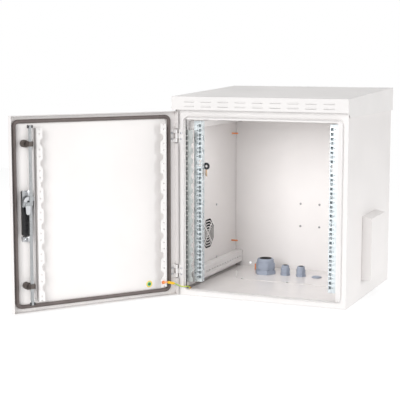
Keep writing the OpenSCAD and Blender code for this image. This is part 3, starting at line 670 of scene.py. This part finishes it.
guides = Piece("moulded_rod_guides")
for z, y in ((90, lock["low"]), (543, lock["up"])):
    disc = [(0, 0), (10.9, 0), (11.5, 0.8), (11.5, 20.2), (11.0, 21.2), (9.4, 21.8), (7.4, 21.8), (6.6, 21.1),
            (4.6, 21.1), (4.0, 20.4), (4.0, 18.2), (0, 18.2)]
    guides.add(turned(disc, 48), at(lock["x"], door["pan"], z) @ alongY)
    guides.add(block((248.3, body["front"] - 5.2, z - 0.5), (251.7, body["front"] - 4.4, z + 0.5), 0, 0.1))
    guides.add(block((231, body["front"] - 9, z - 8), (235.1, y + 5.5, z + 8), 1.2, 0.4))
    guides.add(block((246.0, body["front"] - 9, z - 8), (249.5, y + 5.5, z + 8), 1.2, 0.4))
    guides.add(block((231.5, body["front"] - 9, z - 7), (249, y - 0.35, z + 7), 0, 0.3))
    guides.add(block((231.2, y + 2.95, z - 7.6), (249.3, y + 5.5, z + 7.6), 0, 0.5))
    for rib in (-4.5, 0, 4.5):
        low, high = z + rib - 0.6, z + rib + 0.6
        guides.add(block((231.0, body["front"] - 12, low), (239, body["front"] - 8.6, high), 0, 0.2))
guides.done("door", ["rod_guides"], "guide_plastic", [guidePlastic], onDoor)

for name, replaced, ridesOn, y, z in (
    ("upper_roller_wheels", "upper_rollers", "upper_roller_pair", lock["up"] + 1.25, 597),
    ("lower_roller_wheels", "lower_rollers", "lower_roller_pair", lock["low"] + 1.8, 34),
):
    wheels = Piece(name)
    wheel = [(0, 0), (1.9, 0), (2.0, 0.5), (4.5, 0.5), (5, 1.0), (5, 3.5), (4.6, 4.0), (3.2, 4.2), (2.6, 3.7),
             (0, 3.7)]
    for x, turn in ((-4.4, -1), (4.4, 1)):
        wheels.add(turned(wheel, 32), at(lock["rod"] + x, y, z) @ Matrix.Rotation(turn * math.pi / 2, 4, "Y"))
    axle = [(0, -8.6), (1.1, -8.6), (1.5, -8.3), (1.5, 8.3), (1.1, 8.6), (0, 8.6)]
    wheels.add(turned(axle, 24), at(lock["rod"], y, z) @ alongX, finish=1)
    wheels.done(ridesOn, [replaced], "black_plastic", [blackPlastic, plated], onDoor)

housing = {"x": (238, 262), "z": (251, 394), "ribs": (282, 296, 310, 324)}
front = body["front"]
case = Piece("lock_case")
(x0, x1), (z0, z1) = housing["x"], housing["z"]
case.add(block((x0, front - 21, z0), (x1, front - 6.6, z1), 6, 0.8))
case.add(block((240.5, front - 8, 254), (259.5, front - 5.4, 268), 3, 0.5))
case.add(block((240.5, front - 8, 300), (245, front - 4.6, 390), 1.5, 0.5))
case.add(block((255, front - 8, 300), (259.5, front - 4.6, 390), 1.5, 0.5))
for z in housing["ribs"]:
    case.add(block((240.5, front - 8, z), (259.5, front - 5.2, z + 2), 0, 0.3))
outline = [(6.6, 0), (10.6, 0), (10.6, 15.6), (9.8, 16.4), (7.2, 16.4), (6.6, 15.8)]
case.add(turned(outline, 40, True), at(lock["x"], front - 21, lock["z"]) @ alongY)
case.done("door", ["lock_housing"], "black_plastic", [blackPlastic], onDoor)

plate = Piece("lock_plate")
plate.add(block((236, front - 4, 343), (264, front - 2.5, 354.6), 2.5, 0.25))
plate.add(block((236, front - 4, 369.5), (264, front - 2.5, 396), 2.5, 0.25))
plate.add(block((236, front - 4, 352), (242.8, front - 2.5, 372), 0, 0.25))
plate.add(block((257.2, front - 4, 352), (264, front - 2.5, 372), 0, 0.25))
rivet = [(0, 0), (3.0, 0), (2.8, 0.5), (1.6, 0.75), (0, 0.8)]
for z in (348.5, 391):
    plate.add(turned(rivet, 24), at(lock["x"], front - 2.6, z) @ alongY)
plate.add(block((238, door["pan"], 232), (262, front - 9, 248), 3, 0.8))
nutTop = hexHead(8.4, 3.4, 2, 0.4, flange=5)
plate.add(nutTop, at(lock["x"], front - 9, 240) @ alongY)
plate.done("door", ["lock_bracket"], "zinc", [plated], onDoor)

cam = {"reach": 15, "tongue": 35, "thick": 2}
part = bmesh.new()
bmesh.ops.create_circle(part, cap_ends=True, segments=64, radius=cam["reach"])
for dot in part.verts:  # one side is drawn out into the tongue
    if dot.co.x > 0 and abs(dot.co.y) < 7.2:
        dot.co.x = cam["tongue"] + math.sqrt(max(49 - dot.co.y ** 2, 0)) - 0.01
raised = bmesh.ops.extrude_face_region(part, geom=part.faces[:])["geom"]
raised = [g for g in raised if isinstance(g, bmesh.types.BMVert)]
bmesh.ops.translate(part, vec=(0, 0, cam["thick"]), verts=raised)
camY = front + 8.4
swing = Piece("cam_plate").add(part, at(0, camY, 0) @ alongY)
p = lock["travel"] / 2
swing.add(turned([(0, 0), (2, 0), (2, 4.3), (1.6, 4.9), (0, 4.9)], 24), at(p, camY + 2, p) @ alongY)
swing.add(turned([(0, 0), (1.6, 0), (2, 0.4), (2, 2.9), (0, 2.9)], 24), at(-p, lock["low"], -p) @ alongY)
swing.done("latch", ["lock_cam"], "zinc", [plated], onLatch)
print("rod guides, rollers and lock")

# outside handle

skin = door["skin"]
part = bmesh.new()
bmesh.ops.create_cube(part, size=1)
bmesh.ops.scale(part, vec=(24, 12, 120), verts=part.verts)
bmesh.ops.translate(part, vec=(0, skin - 20.6, -64), verts=part.verts)
bmesh.ops.bevel(part, geom=[e for e in part.edges if abs((e.verts[0].co - e.verts[1].co).y) > 10], offset=8,
                offset_type="OFFSET", segments=6, profile=0.5, affect="EDGES", material=-1)
for k in range(1, 10):
    bmesh.ops.bisect_plane(part, geom=part.verts[:] + part.edges[:] + part.faces[:],
                           plane_co=(0, 0, -4 - 12 * k), plane_no=(0, 0, 1))
for dot in part.verts:  # a waist below the hub, a fuller end with the lock barrel
    down = min(max((-dot.co.z - 4) / 120, 0), 1)
    fuller = (2 * down - 1) ** 2 if down < 0.5 else math.sin((down - 0.5) * math.pi) ** 0.6
    dot.co.x *= 0.74 + 0.26 * fuller
    if dot.co.y < skin - 20:
        dot.co.y += 2.4 * math.sin(math.pi * min(down * 1.4, 1))
rims = [e for e in part.edges if len(e.link_faces) == 2 and e.calc_face_angle() > 0.8]
bmesh.ops.bevel(part, geom=rims, offset=2.0, offset_type="OFFSET", segments=4, profile=0.5, affect="EDGES",
                material=-1, clamp_overlap=True)
lever = Piece("lever_grip").add(part)
lever.add(turned([(2.6, -7.6), (5.4, -7.6), (6, -7), (6, 7), (5.4, 7.6), (2.6, 7.6)], 32, True),
          at(0, skin - 20.5, 6) @ alongX)
lever.add(block((-7.5, skin - 26, -7), (7.5, skin - 15, 6), 1.5, 1.0, axis=0))
lever.add(turned([(8.1, 0), (10.4, 0), (10.0, 0.6), (8.4, 0.6)], 40, True), at(0, skin - 26.55, -98) @ towardFront)
lever.done("handle", ["handle_lever"], "black_plastic", [blackPlastic], onLatch)
print("outside handle")

# earth label

label = {"x": -195, "z": 47}
middle = toMetres @ onDoor @ Vector((label["x"], door["pan"], label["z"]))
rings = ringedFilm("label_rings", tuple(middle), [
    (1, (0.83, 0.60, 0.02)), (0.0079, (0.75, 0.75, 0.72)), (0.0073, (0.07, 0.42, 0.13)),
])
sticker = Piece("earth_sticker")
place = at(label["x"], door["pan"], label["z"]) @ alongY
sticker.add(turned([(0, 0), (11.3, 0), (11.5, 0.12), (11.3, 0.3), (7.6, 0.34), (7.4, 0.6), (0, 0.6)], 48), place)
post = [(0, 0.5), (3, 0.5), (3, 1.2), (2.6, 1.4), (3, 1.7), (2.6, 2.0), (3, 2.3), (2.6, 2.6), (2.2, 3), (0, 3)]
sticker.add(turned(post, 24), place, finish=1)
sticker.done("door", ["earth_label"], "label_film", [rings, darkSteel], onDoor)

# spare key on its tie

key = {"x": -219, "y": -205, "z": 440}
bow = Piece("key_head")
rim = [(4.2, -0.9), (5, -1.2), (11.2, -1.2), (12, -0.6), (12, 0.6), (11.2, 1.2), (5, 1.2), (4.2, 0.9)]
bow.add(turned(rim, 48, True), at(key["x"], key["y"], key["z"]) @ alongY)
bow.done("spare_key", ["key_bow"], "black_plastic", [blackPlastic])
blade = Piece("key_shank")
blade.add(block((-222.5, -205.95, 407), (-218, -204.05, 428), 0, 0.35))
blade.add(block((-220.5, -205.6, 404), (-218.2, -204.4, 428), 0, 0.3))
for z in (404.6, 408.4, 412.2, 416):
    blade.add(block((-219, -205.8, z), (-215.6, -204.2, z + 2.3), 0, 0.3))
blade.add(block((-218.6, -205.6, 419), (-216.4, -204.4, 428), 0, 0.3))
blade.done("spare_key", ["key_blade"], "key_metal", [keyMetal])
tie = {"x": -231, "y": -205, "z": 448, "reach": 12}
loop = []
for k in range(48):
    a = math.radians(k * 7.5)
    loop.append((tie["x"] + tie["reach"] * math.cos(a), tie["y"] + tie["reach"] * math.sin(a), tie["z"]))
part, rows = hose(loop, 0.8, 0.5, (0, 0, 1), 10, True)
Piece("key_loop").add(part).done("cabinet", ["key_tie"], "black_plastic", [tieDark])
print("label and key")

# roof louvres

louvre = {"columns": 9, "pitch": 60.6, "rows": (647.5, 663), "wide": 37, "lip": 1.0}
lips = Piece("louvre_lips")
for i in range(louvre["columns"]):
    for z in louvre["rows"]:
        x = (i - (louvre["columns"] - 1) / 2) * louvre["pitch"]
        half = louvre["wide"] / 2
        lips.add(block((x - half, -300 - louvre["lip"], z - 0.9), (x + half, -298.7, z + 2.3), 1.2, 0.6))
lips.done("cabinet", [], "roof_paint", [roofPaint])
print("roof louvres")

# floor, light and surroundings

studio = {"sky": 0.32, "backdrop": 1.0, "floorGlow": 0.81, "floorSize": 3.2}
floorMesh = bmesh.new()
bmesh.ops.create_grid(floorMesh, x_segments=2, y_segments=2, size=studio["floorSize"])
bmesh.ops.translate(floorMesh, vec=(0, 0, cadBox[0][2]), verts=floorMesh.verts)
mesh = bpy.data.meshes.new("floor")
floorMesh.to_mesh(mesh)
floorMesh.free()
floor = bpy.data.objects.new("floor", mesh)
bpy.context.scene.collection.objects.link(floor)
ground = Finish("floor_paint")
grain = ground.noise(3, 2)
mesh.materials.append(ground.done(
    ground.tint(grain, (0.24, 0.24, 0.24), (0.26, 0.26, 0.26)), 0.9 + 0.05 * grain,
    ground.node("Bump", {}, {"Strength": 0.02, "Height": grain}), Specular_IOR_Level=0.0,
    Emission_Color=(1, 1, 1), Emission_Strength=studio["floorGlow"]))

world = bpy.data.worlds.new("studio")
bpy.context.scene.world = world
world.use_nodes = True
sky = world.node_tree
lit = sky.nodes["Background"]
lit.inputs["Strength"].default_value = studio["sky"]
seen = sky.nodes.new("ShaderNodeBackground")
seen.inputs["Strength"].default_value = studio["backdrop"]
for shader in (lit, seen):
    shader.inputs["Color"].default_value = (1, 1, 1, 1)
either = sky.nodes.new("ShaderNodeMixShader")
sky.links.new(sky.nodes.new("ShaderNodeLightPath").outputs["Is Camera Ray"], either.inputs[0])
sky.links.new(lit.outputs[0], either.inputs[1])
sky.links.new(seen.outputs[0], either.inputs[2])
sky.links.new(either.outputs[0], sky.nodes["World Output"].inputs["Surface"])


def softbox(name, turn, height, away, size, strength):  # strength: the light it gives a white sheet facing it
    place = Vector((math.sin(math.radians(turn)) * away, -math.cos(math.radians(turn)) * away, height))
    lamp = bpy.data.lights.new(name, "AREA")
    lamp.shape, lamp.size = "SQUARE", size
    lamp.energy = strength * math.pi ** 2 * (away ** 2 + height ** 2)
    made = bpy.data.objects.new(name, lamp)
    made.location = place
    made.rotation_euler = (Vector((0, 0, 0.35)) - place).to_track_quat("-Z", "Y").to_euler()
    made.visible_camera = False
    bpy.context.scene.collection.objects.link(made)


softbox("front_light", -4, 2.1, 6.0, 3.0, 0.60)
softbox("side_light", 90, 1.8, 6.0, 2.6, 0.47)
softbox("top_light", 180, 6.0, 0.8, 2.4, 0.40)
softbox("left_light", -80, 1.2, 6.0, 2.2, 0.16)

# a lamp under the top panel, so the inside reads as bright as the front
underTop = {"wide": 0.20, "deep": 0.14, "watts": 1.3, "place": (0.02, -0.10, 0.632), "lean": -4}
lamp = bpy.data.lights.new("inner_light", "AREA")
lamp.shape, lamp.size, lamp.size_y = "RECTANGLE", underTop["wide"], underTop["deep"]
lamp.energy = underTop["watts"]
inner = bpy.data.objects.new("inner_light", lamp)
inner.location = underTop["place"]
inner.rotation_euler = (math.radians(underTop["lean"]), 0, 0)
inner.visible_camera = False
bpy.context.scene.collection.objects.link(inner)
bpy.context.scene.view_settings.view_transform = "Standard"
print("floor and light")
